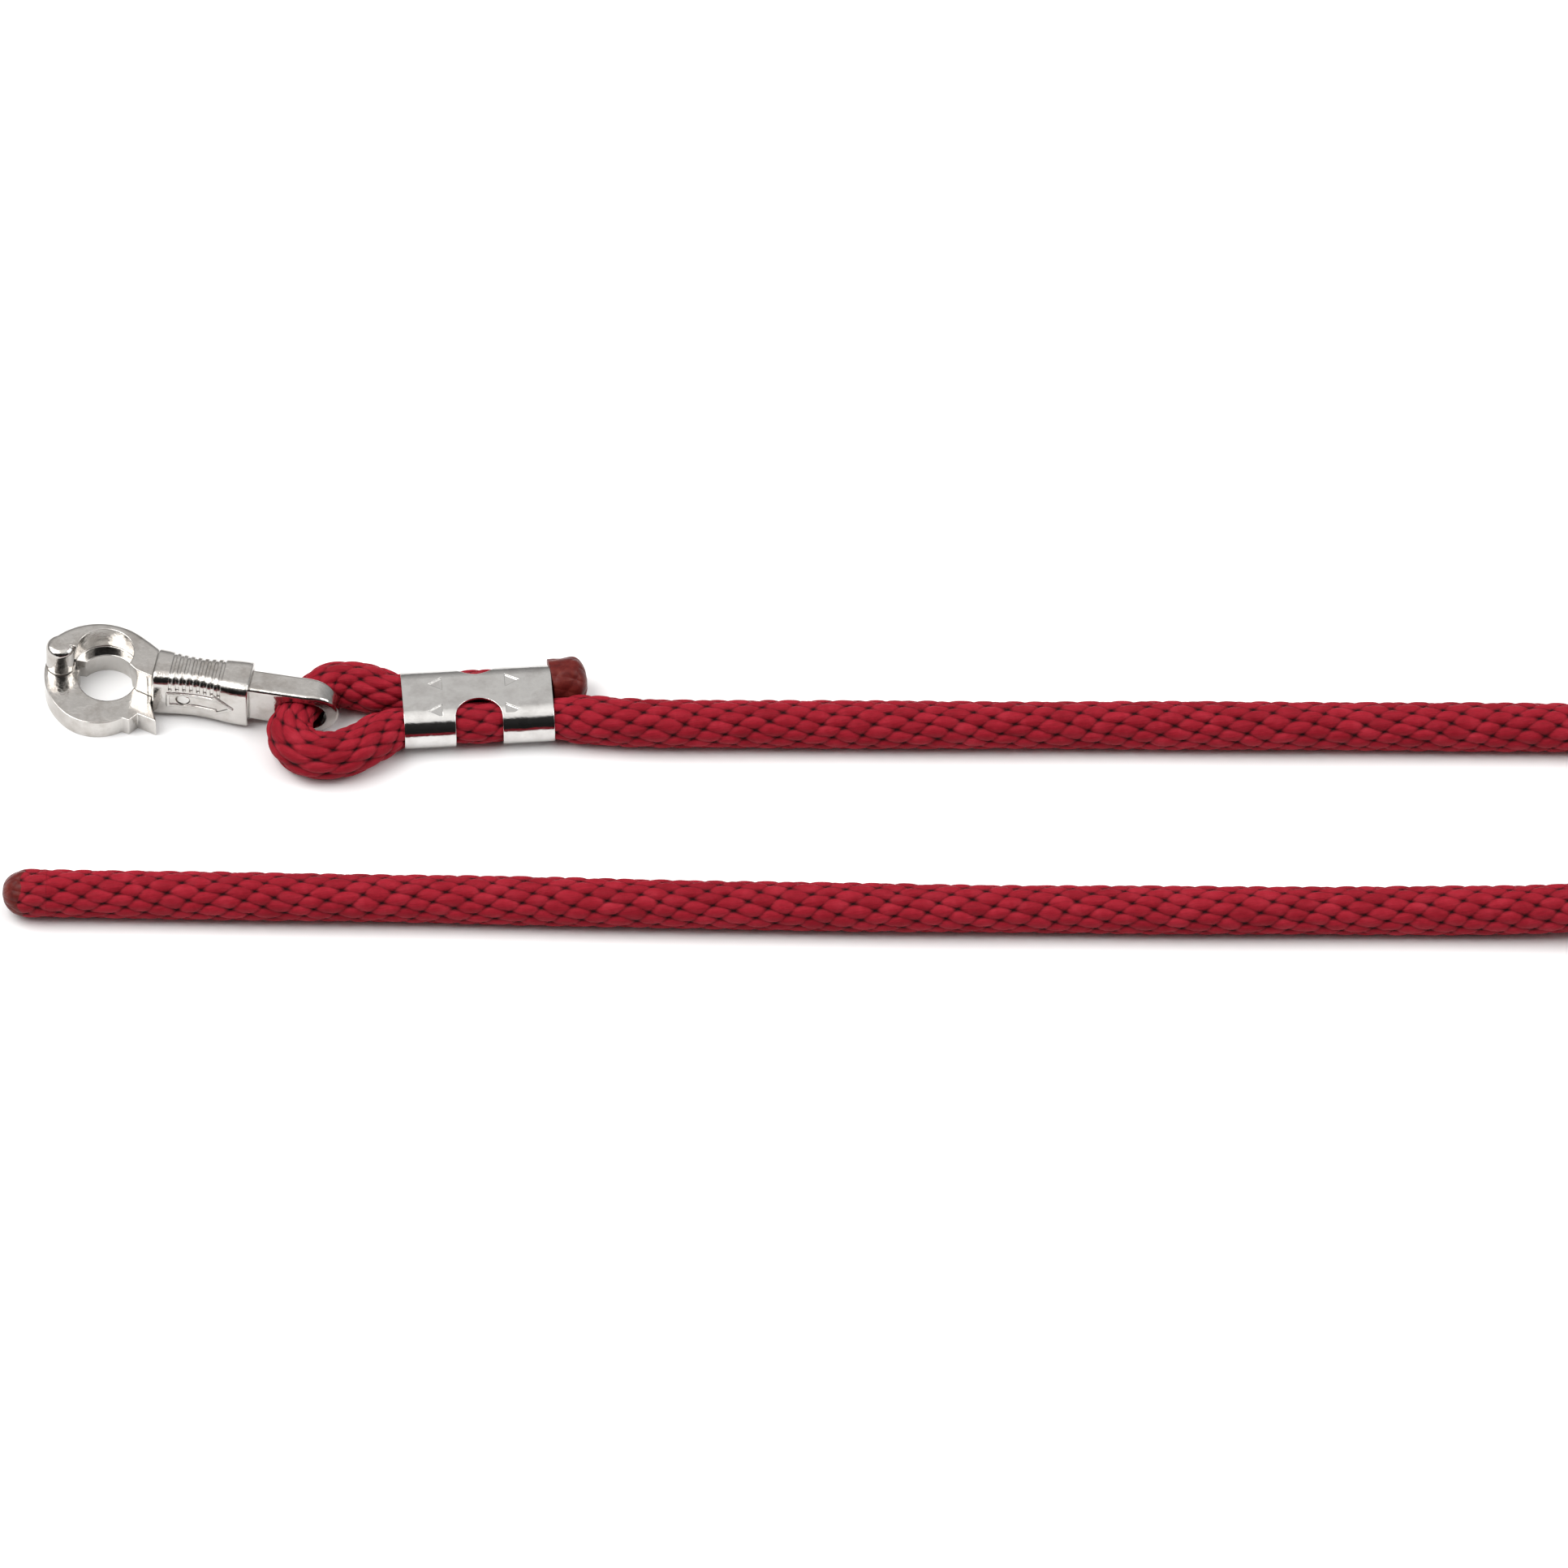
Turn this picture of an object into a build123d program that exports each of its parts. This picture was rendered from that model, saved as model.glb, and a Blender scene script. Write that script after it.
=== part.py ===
"""Lead rope with a quick-release (panic) hook, lying flat on a table.

The hook is a cast body with a fixed half ring, a shank and a rope eye, and a jaw that swings on a rivet.
A spring-loaded sleeve rides on the shank and holds the jaw shut until it is pulled back towards the eye.
One rope passes through the eye, doubles back and is held by a stamped clamp, then runs free to its cut end.

Frame: the origin is the centre of the hook's ring opening at table level, +X runs along the rope away from
the ring, and +Z is up. Hook parts are drawn in the hook's own directions: u along the shank, v across it.
"""

from build123d import *

import math
import os

# ---- hook: heights above the table ----
JAW_TOP = 7.3
ARM_BASE = 7.6
ARM_TOP = 18.0
AXIS_Z = 9.9

# ---- hook: ring opening and fixed arm, in (u, v) ----
HOOK_TURN = -10.8
OPENING_R = 9.8
STUD = (-16.4, 3.1)
STUD_R = 4.9
ARM_INNER = (-1.16, 2.5)
ARM_INNER_R = 9.7
ARM_FLARE = 8.0
ARM_ROUND = 2.2
ROOT_END = 16.4

# ---- hook: shank, slot and rope eye ----
SHANK_HALF_WIDTH = 4.7
SHANK_HALF_HEIGHT = 7.6
SHANK_CHAMFER = 1.2
SLOT_START = 24.3
SLOT_END = 45.0
EYE_START = 58.4
EYE_ROOT = 50.0
EYE_ROUND = 1.2
EYE_R = 8.7
EYE_TIP = 79.0
EYE_BASE = 0.1
EYE_OPENING_R = 6.3
EYE_OPENING = (64.5, 68.9)
LATCH_POCKET_END = 18.8
LATCH_POCKET_V = 1.5

# ---- jaw and its rivet ----
JAW_KNUCKLE_R = 5.0
KNUCKLE_GAP = 0.4
RIVET_R = 2.0
RIVET_CLEARANCE = 0.05
RIVET_TOP = 14.0
RIVET_HEAD_R = 3.4
RIVET_HEAD = (0.4, 1.9)
GAP = 0.3
TONGUE_TIP = 18.0
TONGUE_BASE = 2.6

# ---- release sleeve, cross pin and spring ----
SLEEVE_START = 16.7
SLEEVE_END = 49.0
SLEEVE_HALF_WIDTH = 7.75
SLEEVE_WAIST = 6.55
SLEEVE_WAIST_U = 31.0
SLEEVE_WAIST_SPAN = 14.0
SLEEVE_RIM = 0.6
SLEEVE_CORNER = 4.0
CHANNEL_HALF_WIDTH = SHANK_HALF_WIDTH + GAP
CHANNEL_HALF_HEIGHT = SHANK_HALF_HEIGHT + GAP
CHANNEL_CORNER = 1.2
GROOVES = 8
GROOVE_PITCH = 2.35
GROOVE_WIDTH = 1.1
GROOVE_DEPTH = 0.5
GROOVE_START = 22.2
GROOVE_REACH = 5.4
ARROW_HEIGHT = 0.45
ARROW_LINE = 1.0
PIN_U = 27.0
PIN_R = 2.4
SPRING_WIRE_R = 0.35
SPRING_R = 1.9
SPRING_TURNS = 9

# ---- rope, clamp and rope ends ----
ROPE_R = 8.0
LOOP_R = 5.3
LOOP_Z = 8.4
CLAMP_CENTRE = (123.4, -12.85)
CLAMP_TURN = 4.05
CLAMP_LENGTH = 50.0
CLAMP_WIDTH = 28.8
CLAMP_HEIGHT = 15.6
CLAMP_SHEET = 0.8
WINDOW_R = 7.9
NEAR_WINDOW = -10.5
FAR_WINDOW = 15.8
DENT_R = 3.1
DENT_DEPTH = 0.5
DENTS = ((-13.1, 4.5, 180), (-13.6, -7.1, 180), (11.0, 4.6, 0), (10.7, -8.1, 0))
LEG_OFFSET = 6.5
LEAD_OFFSET = -8.2
DIP_OFFSET = 8.4
DIP_LENGTH = 11.2
DIP_ROUND = 5.0
FREE_DIP_LENGTH = 10.8

# ---- rope that is put away in a flat coil ----
COIL_CENTRE = (604.0, -61.75)
COIL_R = 80.0
COIL_PASSES = 2

HOOK_U = (math.cos(math.radians(HOOK_TURN)), math.sin(math.radians(HOOK_TURN)), 0)
HOOK_V = (-HOOK_U[1], HOOK_U[0], 0)
CLAMP_X = (math.cos(math.radians(CLAMP_TURN)), math.sin(math.radians(CLAMP_TURN)), 0)
SHANK_BASE = AXIS_Z - SHANK_HALF_HEIGHT
SHANK_TOP = AXIS_Z + SHANK_HALF_HEIGHT


def hook_point(u, v, z=0.0):
    """A point of the hook in the row's frame."""
    return (u * HOOK_U[0] + v * HOOK_V[0], u * HOOK_U[1] + v * HOOK_V[1], z)


def along_hook(edge):
    """How far along the hook the middle of an edge is."""
    return edge.center().dot(Vector(*HOOK_U))


def across_hook(edge):
    """How far the middle of an edge is to either side of the hook's axis."""
    return abs(edge.center().dot(Vector(*HOOK_V)))


def hook_level(z):
    """A horizontal plane whose x and y run along u and v."""
    return Plane(origin=(0, 0, z), x_dir=HOOK_U, z_dir=(0, 0, 1))


def hook_side(v=0.0):
    """An upright plane along the shank: x is u, y is height, and its normal points to the near side."""
    return Plane(origin=hook_point(0, v), x_dir=HOOK_U, z_dir=tuple(-c for c in HOOK_V))


def hook_section(u):
    """An upright plane across the shank: x is v, y is height, and its normal points along u."""
    return Plane(origin=hook_point(u, 0), x_dir=HOOK_V, z_dir=HOOK_U)


def clamp_point(x, y, z=0.0):
    """A point of the clamp in the row's frame, from its centre."""
    return (
        CLAMP_CENTRE[0] + x * CLAMP_X[0] - y * CLAMP_X[1],
        CLAMP_CENTRE[1] + x * CLAMP_X[1] + y * CLAMP_X[0],
        z,
    )


def clamp_section(x, y=0.0, z=0.0):
    """An upright plane across the clamp, with its normal along the clamp's length."""
    return Plane(origin=clamp_point(x, y, z), x_dir=(-CLAMP_X[1], CLAMP_X[0], 0), z_dir=CLAMP_X)


def clamp_level(z):
    """A horizontal plane whose x runs along the clamp."""
    return Plane(origin=clamp_point(0, 0, z), x_dir=CLAMP_X, z_dir=(0, 0, 1))


def finish(node, name):
    """Label a finished piece and write it."""
    node.part.label = name
    export_step(node.part, f"parts/{name}.step")


def corner_radii(points, share=0.45):
    """One radius for each corner of a route: as large as its two runs allow."""
    radii = []
    for before, here, after in zip(points, points[1:], points[2:]):
        came = Vector(*here) - Vector(*before)
        goes = Vector(*after) - Vector(*here)
        half_turn = math.radians(came.get_angle(goes)) / 2
        radii.append(share * min(came.length, goes.length) / math.tan(half_turn))
    return radii


def report_tube(name, path, radii, radius, volume):
    """Print a tube's bend radii, and its volume beside its section times its length."""
    smallest = min(radii) / (2 * radius)
    length = sum(edge.length for edge in path.edges())
    expected = math.pi * radius**2 * length
    print(f"{name}: length {length:.1f}, radii {[round(r, 1) for r in radii]}")
    print(f"  smallest radius {smallest:.2f} diameters, volume ratio {volume / expected:.4f}")


os.makedirs("parts", exist_ok=True)

# ======================= rope eye =======================
# an upright plate with a round end, part of the hook body
with BuildPart() as eye_plate:
    with BuildSketch(hook_side()):
        with BuildLine():
            Polyline((EYE_ROOT, SHANK_TOP), (EYE_TIP - EYE_R, EYE_BASE + 2 * EYE_R))
            eye_end = ThreePointArc(
                (EYE_TIP - EYE_R, EYE_BASE + 2 * EYE_R), (EYE_TIP, EYE_BASE + EYE_R), (EYE_TIP - EYE_R, EYE_BASE)
            )
            Polyline(
                eye_end @ 1,
                (EYE_START + 4.6, EYE_BASE),
                (EYE_START, SHANK_BASE),
                (EYE_ROOT, SHANK_BASE),
                (EYE_ROOT, SHANK_TOP),
            )
        make_face()
    extrude(amount=SHANK_HALF_WIDTH, both=True)
    # the plate narrows towards its tip
    with BuildSketch(hook_level(0)):
        with BuildLine():
            narrowing = ThreePointArc((62, SHANK_HALF_WIDTH), (72, 4.3), (EYE_TIP + 1, 2.2))
            Polyline(narrowing @ 1, (EYE_TIP + 1, 8), (62, 8), narrowing @ 0)
        make_face()
        mirror(about=Plane.XZ)
    extrude(amount=ARM_TOP + 2, mode=Mode.SUBTRACT)
    rims = eye_plate.edges().filter_by(lambda edge: along_hook(edge) > EYE_ROOT + 1 and across_hook(edge) > 1)
    fillet(rims, radius=EYE_ROUND)

# ======================= hook body: fixed arm, root, shank and eye =======================
inner_start = (
    ARM_INNER[0] + ARM_INNER_R * math.cos(math.radians(-22)),
    ARM_INNER[1] + ARM_INNER_R * math.sin(math.radians(-22)),
)
with BuildPart() as hook_body:
    # the upper layer: a half ring from the stud round the far side to the root
    with BuildSketch(hook_level(ARM_BASE)):
        with BuildLine():
            outer = ThreePointArc((STUD[0] - STUD_R, STUD[1]), (-7.6, 14.8), (8.6, 12.9))
            TangentArc(outer @ 1, (ROOT_END, 8.0), tangent=outer % 1)
            Polyline((ROOT_END, 8.0), (ROOT_END, -5.2), (10.6, -3.3), inner_start)
            Polyline(inner_start, ARM_INNER, (STUD[0], STUD[1]), outer @ 0)
        make_face()
        with Locations(STUD):
            Circle(STUD_R)
    extrude(amount=ARM_TOP - ARM_BASE)
    # the lower layer: the far half of the ring, level with the jaw
    with BuildSketch(hook_level(0)):
        with BuildLine():
            lower = ThreePointArc((-19.4, 5.4), (-7.4, 14.2), (8.6, 12.3))
            TangentArc(lower @ 1, (ROOT_END, 7.6), tangent=lower % 1)
            Polyline((ROOT_END, 7.6), (ROOT_END, LATCH_POCKET_V), (0, LATCH_POCKET_V), (0, 5.4), lower @ 0)
        make_face()
        Circle(OPENING_R, mode=Mode.SUBTRACT)
        with Locations(STUD):
            Circle(JAW_KNUCKLE_R + KNUCKLE_GAP, mode=Mode.SUBTRACT)
    extrude(amount=ARM_BASE)
    # the opening between arm and jaw widens towards its base
    with BuildSketch(hook_level(ARM_TOP)):
        with Locations(ARM_INNER):
            Circle(ARM_INNER_R)
    extrude(amount=ARM_BASE - ARM_TOP, taper=-ARM_FLARE, mode=Mode.SUBTRACT)
    # the root and the shank
    with BuildSketch(hook_section(ROOT_END - 2)):
        with Locations((0, AXIS_Z)):
            RectangleRounded(2 * SHANK_HALF_WIDTH, 2 * SHANK_HALF_HEIGHT, SHANK_CHAMFER)
    extrude(amount=EYE_START - ROOT_END + 2)
    # the slot for the cross pin and the spring
    with BuildSketch(hook_side()):
        with Locations(((SLOT_START + SLOT_END) / 2, AXIS_Z)):
            RectangleRounded(SLOT_END - SLOT_START, 2 * (PIN_R + GAP), 1.0)
    extrude(amount=SHANK_HALF_WIDTH + 1, both=True, mode=Mode.SUBTRACT)
    # the pocket beside the shank that the jaw's tongue lies in
    with BuildSketch(hook_level(0)):
        with BuildLine():
            Polyline(
                (ROOT_END - 4, LATCH_POCKET_V),
                (LATCH_POCKET_END, LATCH_POCKET_V),
                (LATCH_POCKET_END, -8),
                (ROOT_END - 4, -8),
                close=True,
            )
        make_face()
    extrude(amount=ARM_BASE, mode=Mode.SUBTRACT)
    # the blind hole that the jaw's rivet is driven into
    with BuildSketch(hook_level(ARM_BASE)):
        with Locations(STUD):
            Circle(RIVET_R)
    extrude(amount=RIVET_TOP - ARM_BASE, mode=Mode.SUBTRACT)
    rim = hook_body.edges().group_by(Axis.Z)[-1].filter_by(GeomType.CIRCLE).sort_by(SortBy.RADIUS)
    outside = rim.filter_by(lambda edge: abs(edge.radius - ARM_INNER_R) > 1)
    fillet(outside[::-1], radius=ARM_ROUND)
    # the rope eye
    add(eye_plate.part)
    with BuildSketch(hook_side()):
        with Locations((sum(EYE_OPENING) / 2, LOOP_Z)):
            SlotCenterToCenter(EYE_OPENING[1] - EYE_OPENING[0], 2 * EYE_OPENING_R)
    extrude(amount=SHANK_HALF_WIDTH + 1, both=True, mode=Mode.SUBTRACT)
finish(hook_body, "hook_body")

# ======================= jaw rivet =======================
with BuildPart() as jaw_rivet:
    with BuildSketch(hook_level(RIVET_HEAD[0])):
        with Locations(STUD):
            Circle(RIVET_R)
    extrude(amount=RIVET_TOP - RIVET_HEAD[0])
    with BuildSketch(hook_level(RIVET_HEAD[0])):
        with Locations(STUD):
            Circle(RIVET_HEAD_R)
    extrude(amount=RIVET_HEAD[1] - RIVET_HEAD[0])
    chamfer(jaw_rivet.edges().group_by(Axis.Z)[0], length=0.4)
finish(jaw_rivet, "jaw_rivet")

# ======================= swinging jaw =======================
with BuildPart() as swing_jaw:
    with BuildSketch(hook_level(0)):
        with BuildLine():
            heel = ThreePointArc((STUD[0] - JAW_KNUCKLE_R, STUD[1]), (-19.3, -7.6), (-11.2, -17.3))
            belly = TangentArc(heel @ 1, (8.1, -16.0), tangent=heel % 1)
            Polyline(
                belly @ 1,
                (10.6, -16.6),
                (12.9, -13.3),
                (19.6, -15.3),
                (16.2, -7.9),
                (16.2, 0.9),
                (10.0, 0.9),
                (0, 0),
                STUD,
                heel @ 0,
            )
        make_face()
        Circle(OPENING_R, mode=Mode.SUBTRACT)
        with Locations(STUD):
            Circle(JAW_KNUCKLE_R)
    extrude(amount=JAW_TOP)
    # the bevelled tongue that the sleeve's mouth holds
    with BuildSketch(hook_level(TONGUE_BASE)):
        with BuildLine():
            Polyline((15.0, -6.5), (16.3, -5.3), (TONGUE_TIP, -0.1), (TONGUE_TIP, 1.1), (15.0, 1.1), close=True)
        make_face()
    extrude(amount=JAW_TOP - TONGUE_BASE)
    # the rivet's hole, with a recess for its head
    with BuildSketch(hook_level(0)):
        with Locations(STUD):
            Circle(RIVET_R + RIVET_CLEARANCE)
    extrude(amount=JAW_TOP, mode=Mode.SUBTRACT)
    with BuildSketch(hook_level(0)):
        with Locations(STUD):
            Circle(RIVET_HEAD_R + GAP)
    extrude(amount=RIVET_HEAD[1] + GAP, mode=Mode.SUBTRACT)
finish(swing_jaw, "swing_jaw")

# ======================= release sleeve =======================
def half_width(u):
    """Half of the sleeve's width: full at its ends, with a waist for the fingers between them."""
    along = (u - SLEEVE_WAIST_U) / SLEEVE_WAIST_SPAN
    return SLEEVE_HALF_WIDTH - (SLEEVE_HALF_WIDTH - SLEEVE_WAIST) * max(0.0, 1 - along**2) ** 2


def side_points(growth=0.0, steps=8):
    """Points along one side of the sleeve's plan, wider by growth."""
    stations = [SLEEVE_START + (SLEEVE_END - SLEEVE_START) * i / steps for i in range(steps + 1)]
    return [(u, half_width(u) + growth) for u in stations]


with BuildPart() as release_sleeve:
    with BuildSketch(hook_level(0)):
        with BuildLine():
            side = Spline(*side_points())
            Polyline(side @ 1, (SLEEVE_END, 0), (SLEEVE_START, 0), side @ 0)
        make_face()
        mirror(about=Plane.XZ)
    extrude(amount=2 * AXIS_Z)
    ends = release_sleeve.edges().filter_by(GeomType.BSPLINE)
    fillet(ends, radius=SLEEVE_CORNER)
    rims = release_sleeve.faces().filter_by(GeomType.PLANE).filter_by(
        lambda f: abs(f.normal_at().dot(Vector(*HOOK_U))) > 0.99
    )
    fillet(rims.edges(), radius=SLEEVE_RIM)
    with BuildSketch(hook_section(SLEEVE_START)):
        with Locations((0, AXIS_Z)):
            RectangleRounded(2 * CHANNEL_HALF_WIDTH, 2 * CHANNEL_HALF_HEIGHT, CHANNEL_CORNER)
    extrude(amount=SLEEVE_END - SLEEVE_START, mode=Mode.SUBTRACT)
    # grip grooves over the rounded top
    for i in range(GROOVES):
        groove_u = GROOVE_START + i * GROOVE_PITCH
        with BuildSketch(hook_section(groove_u)):
            with Locations((0, 2 * AXIS_Z)):
                Rectangle(20, 2 * GROOVE_REACH)
            with Locations((0, AXIS_Z)):
                RectangleRounded(
                    2 * (half_width(groove_u) - GROOVE_DEPTH),
                    2 * (AXIS_Z - GROOVE_DEPTH),
                    SLEEVE_CORNER - GROOVE_DEPTH,
                    mode=Mode.SUBTRACT,
                )
        extrude(amount=GROOVE_WIDTH, mode=Mode.SUBTRACT)
    # a raised arrow on each flat side shows which way the sleeve is pulled
    with BuildSketch(hook_level(0)):
        with BuildLine():
            raised_side = Spline(*side_points(ARROW_HEIGHT))
            Polyline(raised_side @ 1, (SLEEVE_END, 0), (SLEEVE_START, 0), raised_side @ 0)
        make_face()
        mirror(about=Plane.XZ)
    raised = extrude(amount=2 * AXIS_Z, mode=Mode.PRIVATE)
    with BuildSketch(hook_side()):
        with BuildLine():
            Polyline(
                (21.6, AXIS_Z - 3.2),
                (37.4, AXIS_Z - 3.2),
                (37.4, AXIS_Z - 4.8),
                (44.4, AXIS_Z),
                (37.4, AXIS_Z + 4.8),
                (37.4, AXIS_Z + 3.2),
                (21.6, AXIS_Z + 3.2),
                close=True,
            )
        make_face()
        offset(amount=-ARROW_LINE, kind=Kind.INTERSECTION, mode=Mode.SUBTRACT)
    frame = extrude(amount=20, both=True, mode=Mode.PRIVATE)
    with BuildSketch(hook_section(SLEEVE_START)):
        with Locations((0, AXIS_Z)):
            Rectangle(2 * (CHANNEL_HALF_WIDTH + 1), 20)
    core = extrude(amount=SLEEVE_END - SLEEVE_START, mode=Mode.PRIVATE)
    add(frame & raised - core)
    # the holes that the cross pin is pressed into
    with BuildSketch(hook_side()):
        with Locations((PIN_U, AXIS_Z)):
            Circle(PIN_R)
    extrude(amount=20, both=True, mode=Mode.SUBTRACT)
finish(release_sleeve, "release_sleeve")

# ======================= cross pin =======================
with BuildPart() as sleeve_pin:
    with BuildSketch(hook_side(half_width(PIN_U))):
        with Locations((PIN_U, AXIS_Z)):
            Circle(PIN_R)
    extrude(amount=2 * half_width(PIN_U))
    fillet(sleeve_pin.edges().filter_by(GeomType.CIRCLE), radius=0.8)
finish(sleeve_pin, "sleeve_pin")

# ======================= sleeve spring =======================
spring_start = PIN_U + PIN_R + 2 * SPRING_WIRE_R
spring_length = SLOT_END - 2 * SPRING_WIRE_R - spring_start
with BuildPart() as sleeve_spring:
    with BuildLine():
        coil = Helix(
            pitch=spring_length / SPRING_TURNS,
            height=spring_length,
            radius=SPRING_R,
            center=hook_point(spring_start, 0, AXIS_Z),
            direction=HOOK_U,
        )
    with BuildSketch(Plane(origin=coil @ 0, z_dir=coil % 0)):
        Circle(SPRING_WIRE_R)
    sweep(is_frenet=True)
finish(sleeve_spring, "sleeve_spring")

# ======================= rope clamp =======================
with BuildPart() as rope_clamp:
    with BuildSketch(clamp_section(-CLAMP_LENGTH / 2, z=CLAMP_HEIGHT / 2)):
        SlotOverall(CLAMP_WIDTH, CLAMP_HEIGHT)
        SlotOverall(CLAMP_WIDTH - 2 * CLAMP_SHEET, CLAMP_HEIGHT - 2 * CLAMP_SHEET, mode=Mode.SUBTRACT)
    extrude(amount=CLAMP_LENGTH)
    # a round-ended window in each edge
    with BuildSketch(clamp_level(0)):
        with Locations((0, NEAR_WINDOW), (0, FAR_WINDOW)):
            Circle(WINDOW_R)
        with Locations((0, NEAR_WINDOW - WINDOW_R)):
            Rectangle(2 * WINDOW_R, 2 * WINDOW_R)
    extrude(amount=CLAMP_HEIGHT, mode=Mode.SUBTRACT)
    # stamped dents that bite into the rope
    with BuildSketch(clamp_level(CLAMP_HEIGHT)):
        for x, y, turn in DENTS:
            with Locations(Location((x, y, 0), (0, 0, turn))):
                RegularPolygon(radius=DENT_R, side_count=3)
    extrude(amount=-DENT_DEPTH, mode=Mode.SUBTRACT)
    with BuildSketch(clamp_level(0)):
        for x, y, turn in DENTS:
            with Locations(Location((x, y, 0), (0, 0, turn))):
                RegularPolygon(radius=DENT_R, side_count=3)
    extrude(amount=DENT_DEPTH, mode=Mode.SUBTRACT)
finish(rope_clamp, "rope_clamp")

# ======================= rope in the clamp and the eye =======================
leg_end = CLAMP_LENGTH / 2
loop_points = [
    clamp_point(leg_end, LEG_OFFSET, LOOP_Z),
    clamp_point(-leg_end - 3, LEG_OFFSET, LOOP_Z),
    hook_point(66.5, 13.0, LOOP_Z),
    hook_point(66.5, -12.5, LOOP_Z),
    hook_point(73.5, -19.0, LOOP_Z),
    hook_point(87.0, -14.6, LOOP_Z),
    clamp_point(-leg_end - 3, -LEG_OFFSET, LOOP_Z),
    clamp_point(leg_end, -LEG_OFFSET, LOOP_Z),
]
loop_radii = corner_radii(loop_points)
with BuildPart() as rope_loop:
    with BuildLine() as loop_path:
        FilletPolyline(*loop_points, radius=loop_radii)
    with BuildSketch(Plane(origin=loop_path.line @ 0, z_dir=loop_path.line % 0)):
        Circle(LOOP_R)
    sweep()
finish(rope_loop, "rope_loop")
report_tube("rope_loop", loop_path.line, loop_radii, LOOP_R, rope_loop.part.volume)

# ======================= dipped end of the short leg =======================
with BuildPart() as short_end_dip:
    with BuildSketch(clamp_section(leg_end, y=DIP_OFFSET, z=ROPE_R)):
        Circle(ROPE_R)
    extrude(amount=DIP_LENGTH)
    fillet(short_end_dip.faces().sort_by(Axis.X)[-1].edges(), radius=DIP_ROUND)
finish(short_end_dip, "short_end_dip")

# ======================= free rope: out to the coil =======================
lead_points = [
    clamp_point(leg_end, LEAD_OFFSET, ROPE_R),
    clamp_point(leg_end + 12, LEAD_OFFSET, ROPE_R),
    (176.0, -20.3, ROPE_R),
    (214.0, -20.5, ROPE_R),
    (280.0, -20.9, ROPE_R),
    (372.0, -21.1, ROPE_R),
    (456.0, -21.8, ROPE_R),
    (517.0, -22.2, ROPE_R),
    (542.0, -11.0, ROPE_R),
    (560.0, 6.8, ROPE_R),
]
lead_radii = corner_radii(lead_points)
with BuildPart() as lead_rope:
    with BuildLine() as lead_path:
        FilletPolyline(*lead_points, radius=lead_radii)
    with BuildSketch(Plane(origin=lead_path.line @ 0, z_dir=lead_path.line % 0)):
        Circle(ROPE_R)
    sweep()
finish(lead_rope, "lead_rope")
report_tube("lead_rope", lead_path.line, lead_radii, ROPE_R, lead_rope.part.volume)

# ======================= coil: the outer shape of the turns that are put away =======================
with BuildPart() as rope_coil:
    with BuildSketch(Plane(origin=(*COIL_CENTRE, 0))):
        Circle(COIL_R + ROPE_R)
        Circle(COIL_R - ROPE_R, mode=Mode.SUBTRACT)
    extrude(amount=COIL_PASSES * 2 * ROPE_R)
    fillet(rope_coil.edges().filter_by(GeomType.CIRCLE), radius=ROPE_R * 0.7)
finish(rope_coil, "rope_coil")

# ======================= free rope: back from the coil to the cut end =======================
return_points = [
    (560.0, -130.3, 3 * ROPE_R),
    (542.0, -112.5, 3 * ROPE_R),
    (517.0, -101.9, 2.1 * ROPE_R),
    (488.0, -101.8, 1.15 * ROPE_R),
    (440.0, -101.5, ROPE_R),
    (352.0, -101.2, ROPE_R),
    (262.0, -100.2, ROPE_R),
    (190.0, -98.7, ROPE_R),
    (112.0, -96.3, ROPE_R),
    (40.0, -95.1, ROPE_R),
    (-23.0, -93.8, ROPE_R),
]
return_radii = corner_radii(return_points)
with BuildPart() as rope_return:
    with BuildLine() as return_path:
        FilletPolyline(*return_points, radius=return_radii)
    with BuildSketch(Plane(origin=return_path.line @ 0, z_dir=return_path.line % 0)):
        Circle(ROPE_R)
    sweep()
finish(rope_return, "rope_return")
report_tube("rope_return", return_path.line, return_radii, ROPE_R, rope_return.part.volume)

# ======================= dipped free end =======================
with BuildPart() as free_end_dip:
    with BuildSketch(Plane(origin=return_path.line @ 1, z_dir=return_path.line % 1)):
        Circle(ROPE_R)
    extrude(amount=FREE_DIP_LENGTH)
    fillet(free_end_dip.faces().sort_by(Axis.X)[0].edges(), radius=DIP_ROUND)
finish(free_end_dip, "free_end_dip")
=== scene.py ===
import math

import bpy
import numpy as np
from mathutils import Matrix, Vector


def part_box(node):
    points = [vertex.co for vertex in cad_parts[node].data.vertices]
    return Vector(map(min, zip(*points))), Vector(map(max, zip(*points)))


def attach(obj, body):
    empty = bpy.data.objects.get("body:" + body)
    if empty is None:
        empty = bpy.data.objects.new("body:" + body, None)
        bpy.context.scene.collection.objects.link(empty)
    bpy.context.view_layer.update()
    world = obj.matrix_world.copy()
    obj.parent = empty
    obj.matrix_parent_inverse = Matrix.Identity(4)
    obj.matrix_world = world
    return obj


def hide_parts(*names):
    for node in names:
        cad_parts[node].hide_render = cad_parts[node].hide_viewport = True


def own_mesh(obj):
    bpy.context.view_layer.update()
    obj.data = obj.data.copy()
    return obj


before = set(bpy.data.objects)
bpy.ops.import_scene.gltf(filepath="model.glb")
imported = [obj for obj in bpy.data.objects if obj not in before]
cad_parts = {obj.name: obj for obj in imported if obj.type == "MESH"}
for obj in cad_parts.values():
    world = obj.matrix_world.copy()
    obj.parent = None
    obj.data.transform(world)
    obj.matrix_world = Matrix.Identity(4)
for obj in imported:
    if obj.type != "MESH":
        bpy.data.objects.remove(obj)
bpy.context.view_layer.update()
scene = bpy.context.scene

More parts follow.
